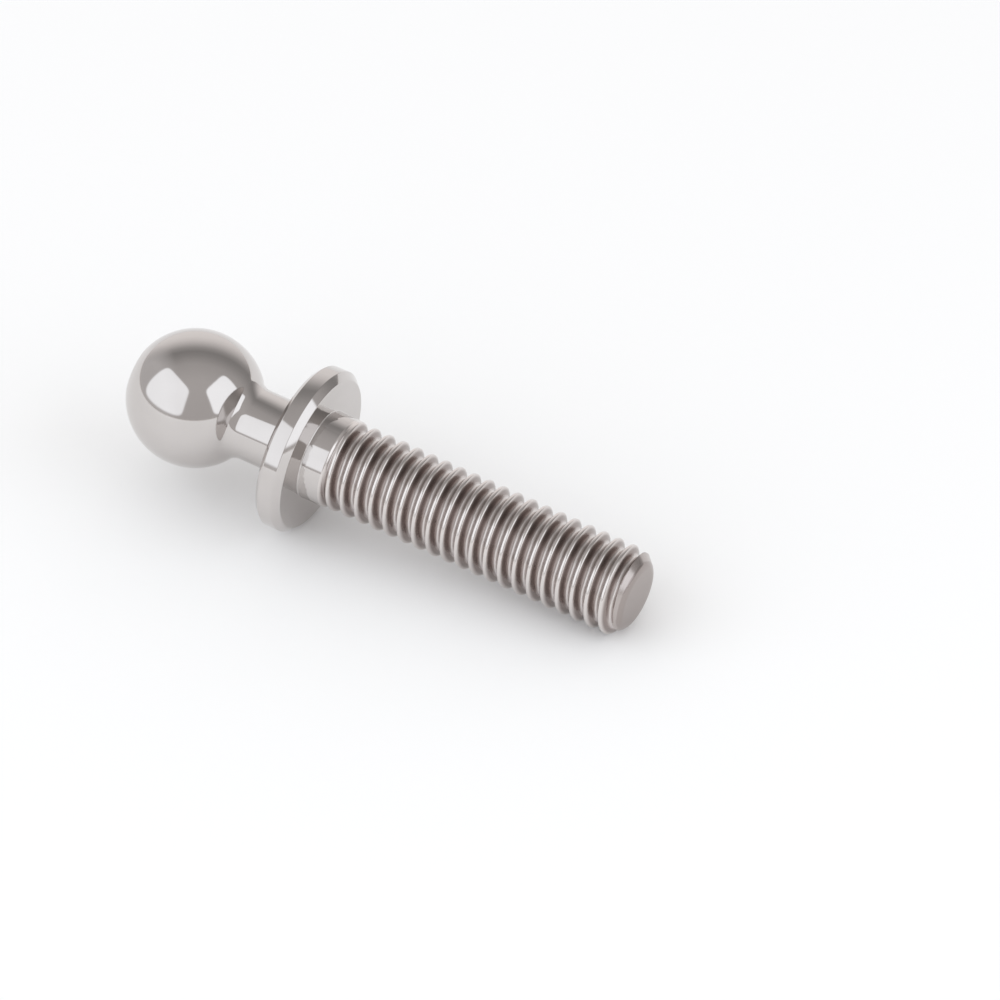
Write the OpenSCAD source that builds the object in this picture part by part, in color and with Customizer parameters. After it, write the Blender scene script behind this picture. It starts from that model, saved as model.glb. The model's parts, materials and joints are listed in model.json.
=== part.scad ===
// Threaded ball stud, turned in one piece: a polished ball on a short neck, a thin round
// flange and a threaded shank with a plain shoulder under the flange.
// It lies as it comes to rest, on the flange's rim and on its last full thread. The surface
// it lies on is z = 0, and the shank points to +X.

/* [Ball] */
// Diameter of the ball
ball_d = 6; // [5.4:0.1:8]
// Distance from the middle of the ball to the flange's seat
ball_reach = 6.2; // [5.8:0.1:9]
// Width across flats of the hexagon socket in the ball's end
socket_af = 2.5; // [1.5:0.1:3]
// Depth of the socket below the flat that it opens in
socket_depth = 2.2; // [1.2:0.1:3]
// Width of the flat left around the socket's corners
socket_land = 0.1; // [0.05:0.05:0.3]

/* [Neck] */
// Diameter of the neck between the ball and the flange
neck_d = 3.2; // [2.5:0.05:4]
// Radius of the fillet between the ball and the neck
ball_fillet = 0.4; // [0.1:0.05:0.6]
// Radius of the fillet between the neck and the flange
neck_fillet = 0.25; // [0.1:0.05:0.5]

/* [Flange] */
// Diameter of the flange
flange_d = 7.4; // [6.4:0.1:10]
// Thickness of the flange
flange_t = 1.15; // [0.9:0.05:2]
// Chamfer on the rim's edge beside the neck
neck_chamfer = 0.2; // [0.05:0.05:0.4]
// Chamfer on the rim's edge beside the seat
seat_chamfer = 0.3; // [0.05:0.05:0.4]

/* [Shank] */
// Length of the shank from the flange's seat to the tip
shank_len = 15.5; // [8:0.1:30]
// Length of the plain shoulder between the flange's seat and the thread
shoulder_len = 0.8; // [0.4:0.1:3]
// Nominal diameter of the thread, and of the plain shoulder
thread_d = 4; // [3.4:0.1:5]
// Distance from one thread to the next
thread_pitch = 0.7; // [0.5:0.05:0.8]
// How much smaller than nominal the threads' crests are, so that they turn freely in a nut
thread_allowance = 0.06; // [0.01:0.01:0.1]
// Length of the chamfer at the tip
tip_chamfer = 0.55; // [0.45:0.05:0.8]
// Radius that rounds the tip's chamfer into its end face
tip_round = 0.5; // [0.1:0.05:0.6]

/* [Hidden] */
titanium = [0.62, 0.59, 0.57];
$fn = 96;
overlap = 0.3;

// Where the turned surfaces start and end around the axis: near the top of the stud as it lies
seam_angle = 184;

// Socket: the flat that it opens in just clears its corners
socket_d = socket_af / cos(30);
pole_flat_r = socket_d / 2 + socket_land;
pole_flat_at = sqrt(pow(ball_d / 2, 2) - pow(pole_flat_r, 2));

// Ball's fillet: its middle is one radius away from both the ball and the neck
fillet_r = neck_d / 2 + ball_fillet;
fillet_at = sqrt(pow(ball_d / 2 + ball_fillet, 2) - pow(fillet_r, 2)) - ball_reach;

// Thread: a sixty degree form whose root lies 17/24 of the sharp form's depth below nominal.
// The allowance comes off the crests, which widens them.
crest_r = (thread_d - thread_allowance) / 2;
thread_depth = 17 / 24 * thread_pitch * sqrt(3) / 2 - thread_allowance / 2;
crest_flat = thread_pitch / 8 + thread_allowance * tan(30);
flank = thread_depth * tan(30);
runout_turns = 0.8;
runout_len = runout_turns * thread_pitch;
thread_from = shoulder_len - overlap;
thread_to = shank_len + overlap;
chamfer_at = shank_len - tip_chamfer;
tip_r = crest_r - tip_chamfer;
end_face_r = tip_r - tip_round * tan(45 / 2);

// Rest: the rim's seat-side edge and the last full crest both touch the surface
tilt = atan((flange_d / 2 - crest_r) / (chamfer_at + seat_chamfer));
axis_z = flange_d / 2 * cos(tilt) - seat_chamfer * sin(tilt);
x_ball_end = -(ball_reach + pole_flat_at) * cos(tilt) - pole_flat_r * sin(tilt);
x_tip = (shank_len - tip_round) * cos(tilt) + end_face_r * sin(tilt) + tip_round;

// The thread's surface is rows that wind along the shank, each at the edge of a crest or a
// root. A row is one turn on from the row before it that has the same edge.
segments = 32;
edges = [0, flank, thread_pitch - crest_flat - flank, thread_pitch - crest_flat];
depths = [0, 1, 1, 0];
turns_back = ceil((chamfer_at - thread_from) / thread_pitch) + 1;
turns_on = ceil((thread_to - chamfer_at) / thread_pitch);
row_count = len(edges) * (turns_back + turns_on) + 1;

function row_at(row, i) =
    chamfer_at + edges[row % len(edges)]
        + thread_pitch * (floor(row / len(edges)) - turns_back + i / segments);

// The groove reaches its full depth over the run-out
function runout(s) = min(1, max(0, (s - shoulder_len) / runout_len));
function thread_r(row, s) = crest_r - thread_depth * depths[row % len(edges)] * runout(s);

// Points lie half a segment off the underside, so that a flat and not an edge faces down there
function ring_angle(i) = 360 * (i + 0.5) / segments;
function ring_point(r, i, s) = [r * cos(ring_angle(i)), r * sin(ring_angle(i)), s];

// Rows are cut off square at both ends of the thread: there they share the end's own points
function point_index(row, i) =
    row_at(row, i) <= thread_from ? i
    : row_at(row, i) >= thread_to ? segments + i
    : segments * (row + 2) + i;

function next_index(row, i) =
    i < segments - 1 ? point_index(row, i + 1)
    : point_index(min(row + len(edges), row_count - 1), 0);

module thread() {
    points = concat(
        [for (i = [0:segments - 1]) ring_point(crest_r, i, thread_from)],
        [for (i = [0:segments - 1]) ring_point(crest_r, i, thread_to)],
        [
            for (row = [0:row_count - 1])
                for (i = [0:segments - 1])
                    let (s = row_at(row, i))
                    ring_point(thread_r(row, s), i, s)
        ]
    );
    sides = [
        for (row = [0:row_count - 2])
            for (i = [0:segments - 1])
                let (
                    a = point_index(row, i),
                    b = point_index(row + 1, i),
                    c = next_index(row + 1, i),
                    d = next_index(row, i)
                )
                each [[a, b, c], [a, c, d]]
    ];
    whole_sides = [for (f = sides) if (f[0] != f[1] && f[1] != f[2] && f[2] != f[0]) f];
    start_face = [for (i = [0:segments - 1]) i];
    end_face = [for (i = [segments - 1:-1:0]) segments + i];
    polyhedron(points, concat(whole_sides, [start_face, end_face]));
}

// Everything that the tip's chamfer, its rounding and the end face leave standing
module tip_envelope() {
    outer_r = crest_r + overlap;
    round_at = shank_len - tip_round;
    rotate_extrude()
        union() {
            polygon([
                [0, 0],
                [outer_r, 0],
                [outer_r, chamfer_at - overlap],
                [end_face_r + tip_round * sin(45), round_at + tip_round * cos(45)],
                [end_face_r, round_at],
                [end_face_r, shank_len],
                [0, shank_len]
            ]);
            translate([end_face_r, round_at])
                circle(tip_round);
        }
}

module ball_profile() {
    translate([0, -ball_reach])
        intersection() {
            circle(d = ball_d);
            translate([0, -ball_d / 2])
                square(ball_d);
        }
    difference() {
        polygon([[0, -ball_reach], [fillet_r, fillet_at], [0, fillet_at]]);
        translate([fillet_r, fillet_at])
            circle(ball_fillet);
    }
}

module flange_profile() {
    rim_r = flange_d / 2;
    polygon([
        [0, -flange_t],
        [rim_r - neck_chamfer, -flange_t],
        [rim_r, neck_chamfer - flange_t],
        [rim_r, -seat_chamfer],
        [rim_r - seat_chamfer, 0],
        [0, 0]
    ]);
}

module neck_profile() {
    translate([0, -ball_reach])
        square([neck_d / 2, ball_reach - flange_t + overlap]);
    translate([neck_d / 2, -flange_t])
        mirror([0, 1])
            difference() {
                square(neck_fillet);
                translate([neck_fillet, neck_fillet])
                    circle(neck_fillet);
            }
}

module turned_body() {
    rotate([0, 0, seam_angle])
        rotate_extrude()
            union() {
                ball_profile();
                neck_profile();
                flange_profile();
                square([thread_d / 2, shoulder_len]);
            }
}

module socket_cut() {
    translate([0, 0, -ball_reach - ball_d / 2])
        linear_extrude(ball_d / 2 - pole_flat_at)
            square(ball_d, center = true);
    translate([0, 0, -ball_reach - pole_flat_at])
        cylinder(d = socket_d, h = socket_depth, $fn = 6);
}

module ball_stud() {
    color(titanium)
        translate([-(x_ball_end + x_tip) / 2, 0, axis_z])
            rotate([0, 90 + tilt, 0])
                difference() {
                    union() {
                        turned_body();
                        intersection() {
                            thread();
                            tip_envelope();
                        }
                    }
                    socket_cut();
                }
}

ball_stud();
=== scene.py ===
import json
import math

import bmesh
import bpy
from mathutils import Matrix, Vector


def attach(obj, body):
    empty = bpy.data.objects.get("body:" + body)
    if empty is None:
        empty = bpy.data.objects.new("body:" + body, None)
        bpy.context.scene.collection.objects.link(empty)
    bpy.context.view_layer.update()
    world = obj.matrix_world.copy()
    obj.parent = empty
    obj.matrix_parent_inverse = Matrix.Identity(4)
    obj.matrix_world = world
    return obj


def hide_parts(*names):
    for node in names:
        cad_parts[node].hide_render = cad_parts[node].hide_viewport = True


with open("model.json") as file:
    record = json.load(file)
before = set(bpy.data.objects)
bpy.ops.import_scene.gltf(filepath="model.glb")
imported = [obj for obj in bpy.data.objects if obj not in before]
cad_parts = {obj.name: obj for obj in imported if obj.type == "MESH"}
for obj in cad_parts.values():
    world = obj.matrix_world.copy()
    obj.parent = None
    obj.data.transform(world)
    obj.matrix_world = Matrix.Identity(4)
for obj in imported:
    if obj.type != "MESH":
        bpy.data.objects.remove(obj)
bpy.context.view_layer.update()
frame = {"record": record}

# The stud's sizes are in millimetres. Distances along its axis run from the flange's seat,
# and are positive towards the threaded tip. The ball's fillet, the shoulder and the run-out are
# fitted to the photo, and differ a little from the solid's.
MM = 0.001
BALL_REACH = 6.2
SOCKET_AF = 2.5
SOCKET_DEPTH = 2.2
SOCKET_LAND = 0.1
BALL_FILLET = 0.8
NECK_R = 3.2 / 2
NECK_FILLET = 0.25
FLANGE_R = 7.4 / 2
FLANGE_T = 1.15
NECK_CHAMFER = 0.2
SEAT_CHAMFER = 0.3
SHANK_LEN = 15.5
SHOULDER_LEN = 1.0
THREAD_PITCH = 0.7
THREAD_ALLOWANCE = 0.06
TIP_CHAMFER = 0.55
TIP_ROUND = 0.5
RUNOUT_TURNS = 0.5

# Finishes: tones of bare titanium and painted light on the thread, and how rough it is where it is
# smooth and where it isn't
POLISHED_TONES = ((0.3, (0.595, 0.565, 0.55)), (0.7, (0.625, 0.595, 0.58)))
POLISHED_ROUGHNESS = (0.05, 0.1)
# Along the thread's depth, crest (0) to root (1): painted highlight at the crests and roots, painted
# shade on the flanks
GROOVE_PAINTED_LIGHT = (
    (0, (0.72, 0.68, 0.66)),
    (0.12, (0.62, 0.57, 0.55)),
    (0.35, (0.31, 0.265, 0.25)),
    (0.65, (0.33, 0.275, 0.258)),
    (0.9, (0.64, 0.59, 0.57)),
    (1, (0.7, 0.655, 0.635)),
)
GROOVE_ROUGHNESS = (0.18, 0.3)
# Darker places on that ramp: painted shade on the tip's chamfer and on the end face, and a darker tone
# in the socket
TIP_PAINTED_SHADE = 0.22
END_PAINTED_SHADE = 0.3
SOCKET_GROOVE = 0.3

# Small radii that polishing leaves on the edges
EDGE_R = 0.05
CORNER_R = 0.06
CREST_R = 0.07
ROOT_R = 0.095

# How finely the mesh is cut
SEGMENTS = 96
BALL_STEPS = 56
FILLET_STEPS = 10
CORNER_STEPS = 4
FLANK_STEPS = 4
FACE_STEPS = 6

# The room as the metal mirrors it: wall levels from in front of the stud to behind it, a paler
# wall on the left, and what lies under the horizon. The fill light falls on the floor only.
WALL_LEVELS = (
    (0.3, 0.56),
    (0.55, 0.48),
    (0.7, 0.33),
    (0.76, 0.3),
    (0.82, 0.42),
    (0.87, 0.62),
    (0.93, 0.86),
    (0.97, 0.97),
)
LEFT_WALL = (0.62, 0.61, 0.61, 1)
LEFT_WALL_EDGE = (-0.45, -0.75)
UNDER_HORIZON = (0.97, 0.95, 0.94, 1)
WHITE = (1, 1, 1, 1)
FILL_COLOUR = (0.82, 0.81, 0.805, 1)
LEFT_RADIANCE = 0.72
RIGHT_RADIANCE = 0.86
PANEL_COLOUR = (0.93, 1, 1.07)
PANEL_EDGE = 0.12
PANEL_ROUNDING = 6

# The camera, by the place where the seat's middle falls in a 1000 pixel wide picture
PICTURE_PX = 1000
SEAT_PX = (320.8, 454.3)
PX_PER_MM = 23.52
CAMERA_YAW = math.radians(29.37)
CAMERA_ELEVATION = math.radians(38.0)
CAMERA_DISTANCE = 0.5
SENSOR = 0.036


def mount(name):
    return next(m for m in frame["record"]["mounts"] if m["name"] == name)


BALL_R = mount("ball")["dims"]["r_mm"]
THREAD_R = mount("thread")["dims"]["r_mm"]

AXIS = Vector(mount("thread")["axis"]).normalized()
SEAT = Vector(mount("ball")["pos_m"]) + AXIS * BALL_REACH * MM
SIDE = Vector((0, 1, 0))
UNDER = SIDE.cross(AXIS)

CAMERA_RIGHT = Vector((math.cos(CAMERA_YAW), math.sin(CAMERA_YAW), 0))
CAMERA_NEAR = Vector((math.sin(CAMERA_YAW), -math.cos(CAMERA_YAW), 0))
UP = Vector((0, 0, 1))


def basis(x, y, z, origin):
    """The matrix whose columns are three axes and a place."""
    turn = Matrix((x, y, z)).transposed()
    return Matrix.Translation(origin) @ turn.to_4x4()


# Profiles

def arc_point(centre, radius, angle):
    return (centre[0] + radius * math.cos(angle), centre[1] + radius * math.sin(angle))


def rounded(points, radii):
    """The outline through points, with an arc of each radius at its corner."""
    outline = [points[0]]
    for before, corner, after, radius in zip(points, points[1:], points[2:], radii):
        corner = Vector(corner)
        back = (Vector(before) - corner).normalized()
        ahead = (Vector(after) - corner).normalized()
        half = back.angle(ahead) / 2
        reach = radius / math.tan(half)
        centre = corner + (back + ahead).normalized() * radius / math.sin(half)
        start = corner + back * reach - centre
        swing = start.angle_signed(corner + ahead * reach - centre)
        for step in range(CORNER_STEPS + 1):
            turn = Matrix.Rotation(-swing * step / CORNER_STEPS, 2)
            outline.append(tuple(centre + turn @ start))
    outline.append(points[-1])
    return outline


def socket_corner_r():
    return SOCKET_AF / 2 / math.cos(math.radians(30))


def pole_flat():
    """Radius of the flat at the ball's end, and its distance from the ball's middle."""
    radius = socket_corner_r() + SOCKET_LAND
    return radius, math.sqrt(BALL_R ** 2 - radius ** 2)


def ball_profile():
    """The ball's outline from the flat at its end to the fillet under it, and that fillet."""
    flat_r, flat_at = pole_flat()
    fillet_r = NECK_R + BALL_FILLET
    last = math.acos(fillet_r / (BALL_R + BALL_FILLET))
    first = math.atan2(-flat_at, flat_r)
    fillet_s = (BALL_R + BALL_FILLET) * math.sin(last) - BALL_REACH
    ball = [
        arc_point((0, -BALL_REACH), BALL_R, first + (last - first) * k / BALL_STEPS)
        for k in range(BALL_STEPS + 1)
    ]
    fillet = [
        arc_point((fillet_r, fillet_s), BALL_FILLET, math.pi + last * (1 - k / FILLET_STEPS))
        for k in range(1, FILLET_STEPS + 1)
    ]
    return ball + fillet


def body_profile():
    """Radius and place along the axis, from the ball's end to the foot of the thread."""
    ball = ball_profile()
    corners = [
        ball[-1],
        (NECK_R, -FLANGE_T),
        (FLANGE_R - NECK_CHAMFER, -FLANGE_T),
        (FLANGE_R, NECK_CHAMFER - FLANGE_T),
        (FLANGE_R, -SEAT_CHAMFER),
        (FLANGE_R - SEAT_CHAMFER, 0),
        (THREAD_R, 0),
        (THREAD_R, SHOULDER_LEN),
    ]
    radii = [NECK_FILLET, EDGE_R, EDGE_R, EDGE_R, EDGE_R, CORNER_R]
    return ball[:-1] + rounded(corners, radii)


# Thread

def divided(outline, longest):
    """The same outline with extra points, so that no step along it is longer."""
    points = [outline[0]]
    for before, after in zip(outline, outline[1:]):
        before, after = Vector(before), Vector(after)
        steps = math.ceil((after - before).length / longest)
        points += [tuple(before.lerp(after, k / steps)) for k in range(1, steps + 1)]
    return points


def thread_form():
    """One pitch of the thread's outline, from the middle of one crest to the next."""
    slope = math.tan(math.radians(30))
    crest_flat = THREAD_PITCH / 8 + THREAD_ALLOWANCE * slope
    depth = 17 / 24 * THREAD_PITCH * math.sqrt(3) / 2 - THREAD_ALLOWANCE / 2
    flank = depth * slope
    crest_r = THREAD_R - THREAD_ALLOWANCE / 2
    root_r = crest_r - depth
    crest_to = THREAD_PITCH - crest_flat
    points = [
        (-crest_flat / 2, crest_r),
        (0, crest_r),
        (flank, root_r),
        (crest_to - flank, root_r),
        (crest_to, crest_r),
        (crest_to + crest_flat / 2, crest_r),
    ]
    outline = rounded(points, [CREST_R, ROOT_R, ROOT_R, CREST_R])
    return divided(outline, depth / FLANK_STEPS)[:-1], crest_r, depth


def tip_limit(s, crest_r):
    """The largest radius that the tip's chamfer leaves at a place."""
    return crest_r - (s - (SHANK_LEN - TIP_CHAMFER))


def tip_profile(crest_r):
    """The rounding from the tip's chamfer into its end face, and that face almost to its middle."""
    face_r = crest_r - TIP_CHAMFER - TIP_ROUND * math.tan(math.radians(45 / 2))
    centre = (face_r, SHANK_LEN - TIP_ROUND)
    rounding = [
        arc_point(centre, TIP_ROUND, math.radians(45 + 45 * k / FILLET_STEPS))
        for k in range(FILLET_STEPS + 1)
    ]
    face = [(face_r * (1 - k / FACE_STEPS), SHANK_LEN) for k in range(1, FACE_STEPS)]
    return rounding + face


def smooth_step(t):
    t = min(1, max(0, t))
    return t * t * (3 - 2 * t)


class Grid:
    """Collects a closed surface that is wound around the axis."""

    def __init__(self):
        self.bm = bmesh.new()
        self.uv = self.bm.loops.layers.uv.new("turning")
        self.groove = self.bm.verts.layers.float.new("groove")
        self.finish = 0
        self.depth = 0

    def ring(self, radius, s):
        """A ring of points; radius is a number, or a function of the angle."""
        points = []
        for i in range(SEGMENTS):
            angle = 2 * math.pi * i / SEGMENTS
            r = radius(angle) if callable(radius) else radius
            place = (r * math.cos(angle) * MM, r * math.sin(angle) * MM, s * MM)
            points.append(self.bm.verts.new(place))
            points[-1][self.groove] = self.depth
        return points

    def point(self, s):
        vert = self.bm.verts.new((0, 0, s * MM))
        vert[self.groove] = self.depth
        return [vert] * SEGMENTS

    def face(self, corners):
        """A face through (vertex, u, v) corners, leaving out those that coincide."""
        kept = []
        for corner in corners:
            if corner[0] not in [k[0] for k in kept]:
                kept.append(corner)
        if len(kept) < 3:
            return
        face = self.bm.faces.new([k[0] for k in kept])
        face.smooth = True
        face.material_index = self.finish
        for loop, (_, u, v) in zip(face.loops, kept):
            loop[self.uv].uv = (u, v)

    def band(self, lower, upper, v_from, v_to):
        for i in range(SEGMENTS):
            j = (i + 1) % SEGMENTS
            u_from, u_to = i / SEGMENTS, (i + 1) / SEGMENTS
            self.face([
                (lower[i], u_from, v_from),
                (lower[j], u_to, v_from),
                (upper[j], u_to, v_to),
                (upper[i], u_from, v_to),
            ])

    def lathe(self, start, profile, v):
        """Carries the surface on from a ring through a profile, and returns its last ring."""
        ring = start
        for (r0, s0), (r1, s1) in zip(profile, profile[1:]):
            on = v + math.hypot(r1 - r0, s1 - s0)
            following = self.ring(r1, s1)
            self.band(ring, following, v, on)
            ring, v = following, on
        return ring, v


def add_socket(grid):
    """The hexagon socket, from its bottom to the flat at the ball's end."""
    flat_r, flat_at = pole_flat()
    mouth_s = -BALL_REACH - flat_at
    floor_s = mouth_s + SOCKET_DEPTH

    def hexagon(inset):
        def radius(angle):
            off = (angle + math.pi / 6) % (math.pi / 3) - math.pi / 6
            return (SOCKET_AF / 2 - inset) / math.cos(math.pi / 6 - abs(off))
        return radius

    grid.depth = SOCKET_GROOVE
    rings = [
        grid.point(floor_s),
        grid.ring(hexagon(3 * EDGE_R), floor_s),
        grid.ring(hexagon(EDGE_R), floor_s),
        grid.ring(hexagon(0), floor_s - EDGE_R),
        grid.ring(hexagon(0), mouth_s + EDGE_R),
        grid.ring(hexagon(-EDGE_R), mouth_s),
        grid.ring(flat_r, mouth_s),
    ]
    v = -SOCKET_DEPTH
    for lower, upper in zip(rings, rings[1:]):
        grid.finish = 0 if upper is rings[-1] else 1
        grid.band(lower, upper, v, v + EDGE_R)
        v += EDGE_R
    grid.depth = 0
    return rings[-1], v


def add_thread(grid, start, v):
    """The thread as rows that wind along the shank, cut off square at both of its ends."""
    form, crest_r, depth = thread_form()
    rows = len(form)
    chamfer_at = SHANK_LEN - TIP_CHAMFER
    turns_back = math.ceil((chamfer_at - SHOULDER_LEN) / THREAD_PITCH) + 1
    turns = turns_back + math.ceil(TIP_CHAMFER / THREAD_PITCH) + 1
    # The end face takes a darker tone, painted shade
    grid.depth = END_PAINTED_SHADE
    tip = tip_profile(crest_r)
    end_r, end_s = tip[0]
    end = grid.ring(end_r, end_s)
    form_v = [0]
    for (s0, r0), (s1, r1) in zip(form, form[1:]):
        form_v.append(form_v[-1] + math.hypot(s1 - s0, r1 - r0))
    turn_v = form_v[-1] + THREAD_PITCH / rows

    def make(row, i):
        form_s, form_r = form[row % rows]
        s = chamfer_at + form_s + THREAD_PITCH * (row // rows - turns_back + i / SEGMENTS)
        if s <= SHOULDER_LEN:
            return start[i]
        if s >= end_s:
            return end[i]
        cut = smooth_step((s - SHOULDER_LEN) / (RUNOUT_TURNS * THREAD_PITCH))
        thread_r = THREAD_R + (form_r - THREAD_R) * cut
        r = min(thread_r, tip_limit(s, crest_r))
        angle = 2 * math.pi * i / SEGMENTS
        vert = grid.bm.verts.new((r * math.cos(angle) * MM, r * math.sin(angle) * MM, s * MM))
        # Painted shade darkens the tip's chamfer; elsewhere the groove depth picks painted highlight
        # or shade from the ramp
        vert[grid.groove] = TIP_PAINTED_SHADE if r < thread_r else max(0, crest_r - r) / depth
        return vert

    count = rows * turns
    table = [[make(row, i) for i in range(SEGMENTS)] for row in range(count)]

    def at(row, i):
        if i == SEGMENTS:
            return table[row + rows][0] if row + rows < count else end[0]
        return table[row][i]

    def v_at(row):
        return v + form_v[row % rows] + turn_v * (row // rows)

    for row in range(count - 1):
        for i in range(SEGMENTS):
            u_from, u_to = i / SEGMENTS, (i + 1) / SEGMENTS
            grid.face([
                (at(row, i), u_from, v_at(row)),
                (at(row, i + 1), u_to, v_at(row)),
                (at(row + 1, i + 1), u_to, v_at(row + 1)),
                (at(row + 1, i), u_from, v_at(row + 1)),
            ])
    return end, tip, v_at(count)


def make_stud():
    grid = Grid()
    ring, v = add_socket(grid)
    ring, v = grid.lathe(ring, body_profile(), v)
    grid.finish = 1
    ring, tip, v = add_thread(grid, ring, v)
    inner, v = grid.lathe(ring, tip, v)
    grid.band(inner, grid.point(SHANK_LEN), v, v + tip[-1][0])
    bm = grid.bm
    bmesh.ops.recalc_face_normals(bm, faces=bm.faces)
    loose = [vert for vert in bm.verts if not vert.link_faces]
    bmesh.ops.delete(bm, geom=loose, context="VERTS")
    mesh = bpy.data.meshes.new("stud_body")
    bm.to_mesh(mesh)
    bm.free()
    mesh.transform(basis(UNDER, SIDE, AXIS, SEAT))
    stud = bpy.data.objects.new("stud_body", mesh)
    bpy.context.scene.collection.objects.link(stud)
    mesh.set_sharp_from_angle(angle=math.radians(50))
    weighted = stud.modifiers.new("weighted normals", "WEIGHTED_NORMAL")
    weighted.keep_sharp = True
    return stud


# Node trees

def feed(tree, socket, value):
    """Links a socket to another one, or sets it to a value."""
    if isinstance(value, bpy.types.NodeSocket):
        tree.links.new(value, socket)
    else:
        socket.default_value = value


def add_node(tree, kind, settings=None, inputs=None):
    node = tree.nodes.new("ShaderNode" + kind)
    for key, value in (settings or {}).items():
        setattr(node, key, value)
    for key, value in (inputs or {}).items():
        feed(tree, node.inputs[key], value)
    return node


def math_node(tree, operation, *values):
    node = add_node(tree, "Math", {"operation": operation}, dict(enumerate(values)))
    return node.outputs["Value"]


def along(tree, vector, axis):
    """How far a vector points along an axis."""
    node = add_node(tree, "VectorMath", {"operation": "DOT_PRODUCT"}, {0: vector, 1: axis})
    return node.outputs["Value"]


def remap(tree, value, before, after=(0, 1), interpolation="LINEAR"):
    node = add_node(tree, "MapRange", {"interpolation_type": interpolation}, {
        "Value": value,
        "From Min": before[0],
        "From Max": before[1],
        "To Min": after[0],
        "To Max": after[1],
    })
    return node.outputs["Result"]


def ramp(tree, source, stops):
    """A colour for each value of the source, through (value, colour) stops."""
    node = add_node(tree, "ValToRGB", None, {"Fac": source})
    elements = node.color_ramp.elements
    while len(elements) < len(stops):
        elements.new(0)
    for element, (at, colour) in zip(elements, stops):
        element.position = at
        element.color = (*colour, 1)
    return node.outputs["Color"]


def blend(tree, factor, first, second):
    node = add_node(tree, "Mix", {"data_type": "RGBA"}, {"Factor": factor, "A": first, "B": second})
    return node.outputs["Result"]


# Materials

class Finish:
    """A metal finish under construction."""

    def __init__(self, name):
        self.material = bpy.data.materials.new(name)
        self.material.use_nodes = True
        self.tree = self.material.node_tree
        self.shader = self.tree.nodes["Principled BSDF"]
        self.shader.inputs["Metallic"].default_value = 1

    def drive(self, socket, source):
        self.tree.links.new(source, self.shader.inputs[socket])

    def noise(self, per_mm, detail):
        """Cloudy patches through the solid."""
        place = add_node(self.tree, "TexCoord").outputs["Object"]
        inputs = {"Vector": place, "Scale": per_mm / MM, "Detail": detail}
        return add_node(self.tree, "TexNoise", None, inputs).outputs["Fac"]

    def turning_marks(self, per_mm):
        """Fine rings around the axis, as a turning tool leaves them."""
        uv = add_node(self.tree, "UVMap", {"uv_map": "turning"}).outputs["UV"]
        place = add_node(self.tree, "SeparateXYZ", None, {"Vector": uv}).outputs["Y"]
        scaled = math_node(self.tree, "MULTIPLY", place, per_mm)
        marks = add_node(self.tree, "TexNoise", {"noise_dimensions": "1D"}, {"W": scaled, "Detail": 3})
        return marks.outputs["Fac"]

    def relief(self, height, depth_mm):
        bump = add_node(self.tree, "Bump", None, {"Height": height, "Distance": depth_mm * MM})
        self.drive("Normal", bump.outputs["Normal"])


def polished_titanium():
    finish = Finish("polished_titanium")
    patches = finish.noise(0.5, 4)
    finish.drive("Base Color", ramp(finish.tree, patches, POLISHED_TONES))
    marks = finish.turning_marks(14)
    finish.drive("Roughness", remap(finish.tree, marks, (0, 1), POLISHED_ROUGHNESS))
    finish.relief(marks, 0.00012)
    return finish.material


def threaded_titanium_painted_light():
    finish = Finish("threaded_titanium_painted_light")
    groove = add_node(finish.tree, "Attribute", {"attribute_name": "groove"}).outputs["Fac"]
    # The colour along the thread is painted light: painted highlight at crests and roots, painted
    # shade on flanks, chamfer and end face
    finish.drive("Base Color", ramp(finish.tree, groove, GROOVE_PAINTED_LIGHT))
    finish.drive("Roughness", remap(finish.tree, groove, (0, 1), GROOVE_ROUGHNESS))
    finish.relief(finish.turning_marks(10), 0.0004)
    return finish.material


def floor_material():
    material = bpy.data.materials.new("floor")
    material.use_nodes = True
    nodes = material.node_tree.nodes
    shader = nodes["Principled BSDF"]
    shader.inputs["Base Color"].default_value = (0.985, 0.985, 0.985, 1)
    shader.inputs["Roughness"].default_value = 0.9
    shader.inputs["Specular IOR Level"].default_value = 0
    return material


# Stage

def make_floor():
    size = 0.4
    mesh = bpy.data.meshes.new("floor")
    corners = [(-size, -size, 0), (size, -size, 0), (size, size, 0), (-size, size, 0)]
    mesh.from_pydata(corners, [], [(0, 1, 2, 3)])
    floor = bpy.data.objects.new("floor", mesh)
    bpy.context.scene.collection.objects.link(floor)
    mesh.materials.append(floor_material())


def around(azimuth):
    """The level direction at an angle from the camera's own, positive to its right."""
    return CAMERA_NEAR * math.cos(azimuth) + CAMERA_RIGHT * math.sin(azimuth)


def soften(light):
    """Rounds off a light panel's corners and fades its edges, as cloth over a frame does."""
    light.use_nodes = True
    tree = light.node_tree
    place = add_node(tree, "NewGeometry").outputs["Parametric"]
    across = add_node(tree, "SeparateXYZ", None, {0: place})

    def from_middle(socket):
        doubled = math_node(tree, "MULTIPLY", socket, 2)
        return math_node(tree, "ABSOLUTE", math_node(tree, "SUBTRACT", doubled, 1))

    sides = [
        math_node(tree, "POWER", from_middle(across.outputs[axis]), PANEL_ROUNDING)
        for axis in ("X", "Y")
    ]
    out = math_node(tree, "POWER", math_node(tree, "ADD", *sides), 1 / PANEL_ROUNDING)
    fade = remap(tree, out, (1 - PANEL_EDGE, 1), (1, 0), "SMOOTHSTEP")
    tree.links.new(fade, tree.nodes["Emission"].inputs["Strength"])


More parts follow.
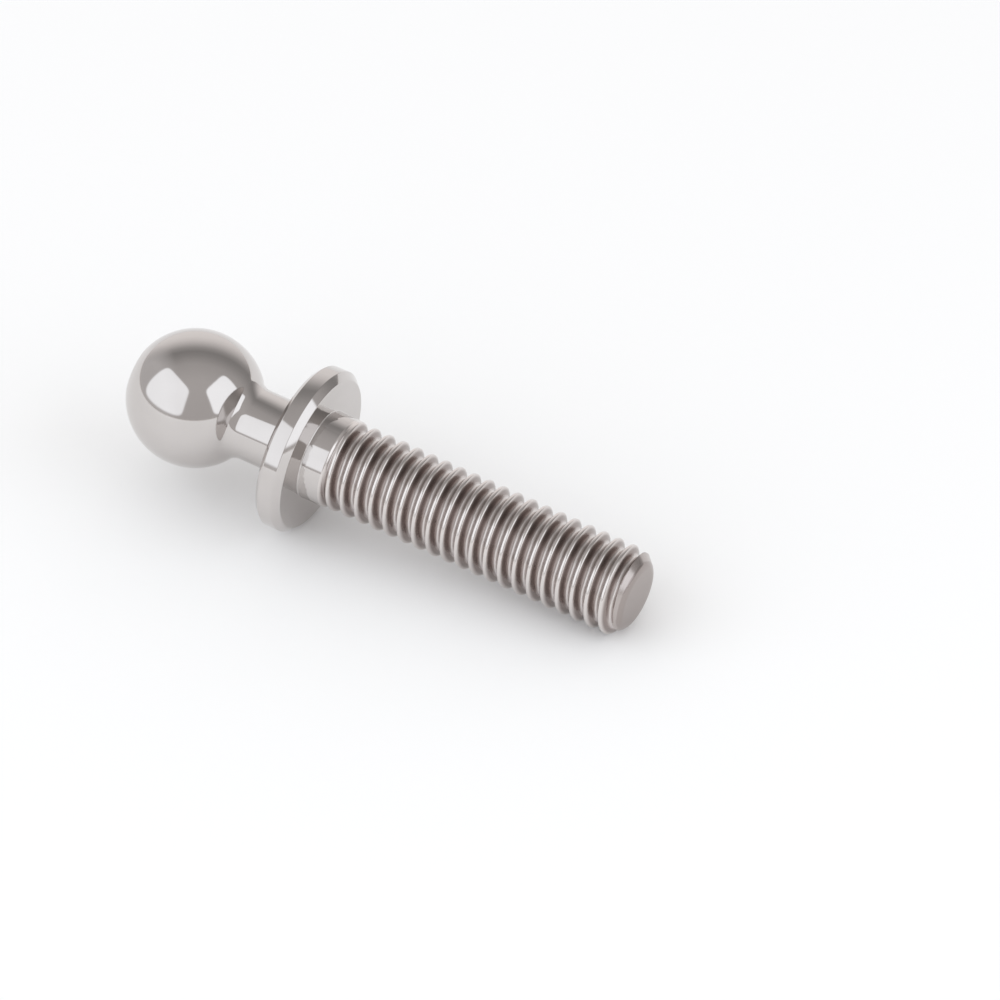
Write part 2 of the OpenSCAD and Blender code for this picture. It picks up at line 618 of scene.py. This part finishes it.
def add_panel(name, azimuth, half_width, bottom, top, radiance):
    """A flat light panel; bottom and top are (distance from the stud, height)."""
    out = around(math.radians(azimuth))
    low = out * bottom[0] + UP * bottom[1]
    high = out * top[0] + UP * top[1]
    rise = (high - low).normalized()
    across = UP.cross(out)
    data = bpy.data.lights.new(name, "AREA")
    data.shape = "RECTANGLE"
    data.size = 2 * half_width
    data.size_y = (high - low).length
    data.energy = radiance * math.pi * data.size * data.size_y
    data.color = PANEL_COLOUR
    soften(data)
    panel = bpy.data.objects.new(name, data)
    bpy.context.scene.collection.objects.link(panel)
    outward = across.cross(rise)
    panel.matrix_world = basis(across, rise, outward, (low + high) / 2)
    panel.visible_camera = False
    return panel


def make_lights():
    add_panel("left_panel", -60, 0.243, (0.3, 0.02), (0.215, 0.387), LEFT_RADIANCE)
    add_panel("right_panel", 57, 0.165, (0.3, 0.02), (0.237, 0.33), RIGHT_RADIANCE)


def room_colour(tree):
    """The room in the direction of a ray, as the metal mirrors it."""
    direction = add_node(tree, "TexCoord").outputs["Generated"]
    behind = remap(tree, along(tree, direction, -CAMERA_NEAR), (-1, 1))
    stops = [(at, (level, level * 0.97, level * 0.96)) for at, level in WALL_LEVELS]
    left = remap(tree, along(tree, direction, CAMERA_RIGHT), LEFT_WALL_EDGE)
    walls = blend(tree, left, ramp(tree, behind, stops), LEFT_WALL)
    height = add_node(tree, "SeparateXYZ", None, {0: direction}).outputs["Z"]
    above = math_node(tree, "GREATER_THAN", height, 0)
    return blend(tree, above, UNDER_HORIZON, walls)


def make_world():
    """A room that the metal mirrors, a fill light for the floor, and white for the camera."""
    world = bpy.data.worlds.new("studio")
    bpy.context.scene.world = world
    world.use_nodes = True
    tree = world.node_tree
    path = add_node(tree, "LightPath")
    lit = blend(tree, path.outputs["Is Glossy Ray"], FILL_COLOUR, room_colour(tree))
    seen = blend(tree, path.outputs["Is Camera Ray"], lit, WHITE)
    tree.links.new(seen, tree.nodes["Background"].inputs["Color"])


def make_camera():
    back = CAMERA_NEAR * math.cos(CAMERA_ELEVATION) + UP * math.sin(CAMERA_ELEVATION)
    up = back.cross(CAMERA_RIGHT)
    right_mm = (PICTURE_PX / 2 - SEAT_PX[0]) / PX_PER_MM
    down_mm = (PICTURE_PX / 2 - SEAT_PX[1]) / PX_PER_MM
    aim = SEAT + CAMERA_RIGHT * right_mm * MM - up * down_mm * MM
    data = bpy.data.cameras.new("camera")
    data.sensor_width = SENSOR * 1000
    field = PICTURE_PX / PX_PER_MM * MM
    data.lens = SENSOR * 1000 * CAMERA_DISTANCE / field
    data.clip_start = 0.01
    data.clip_end = 20
    camera = bpy.data.objects.new("camera", data)
    bpy.context.scene.collection.objects.link(camera)
    camera.matrix_world = basis(CAMERA_RIGHT, up, back, aim + back * CAMERA_DISTANCE)
    bpy.context.scene.camera = camera


stud = make_stud()
stud.data.materials.append(polished_titanium())
stud.data.materials.append(threaded_titanium_painted_light())
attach(stud, "root")
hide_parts("ball_stud")

make_floor()
make_lights()
make_world()
make_camera()
bpy.context.scene.view_settings.view_transform = "Standard"
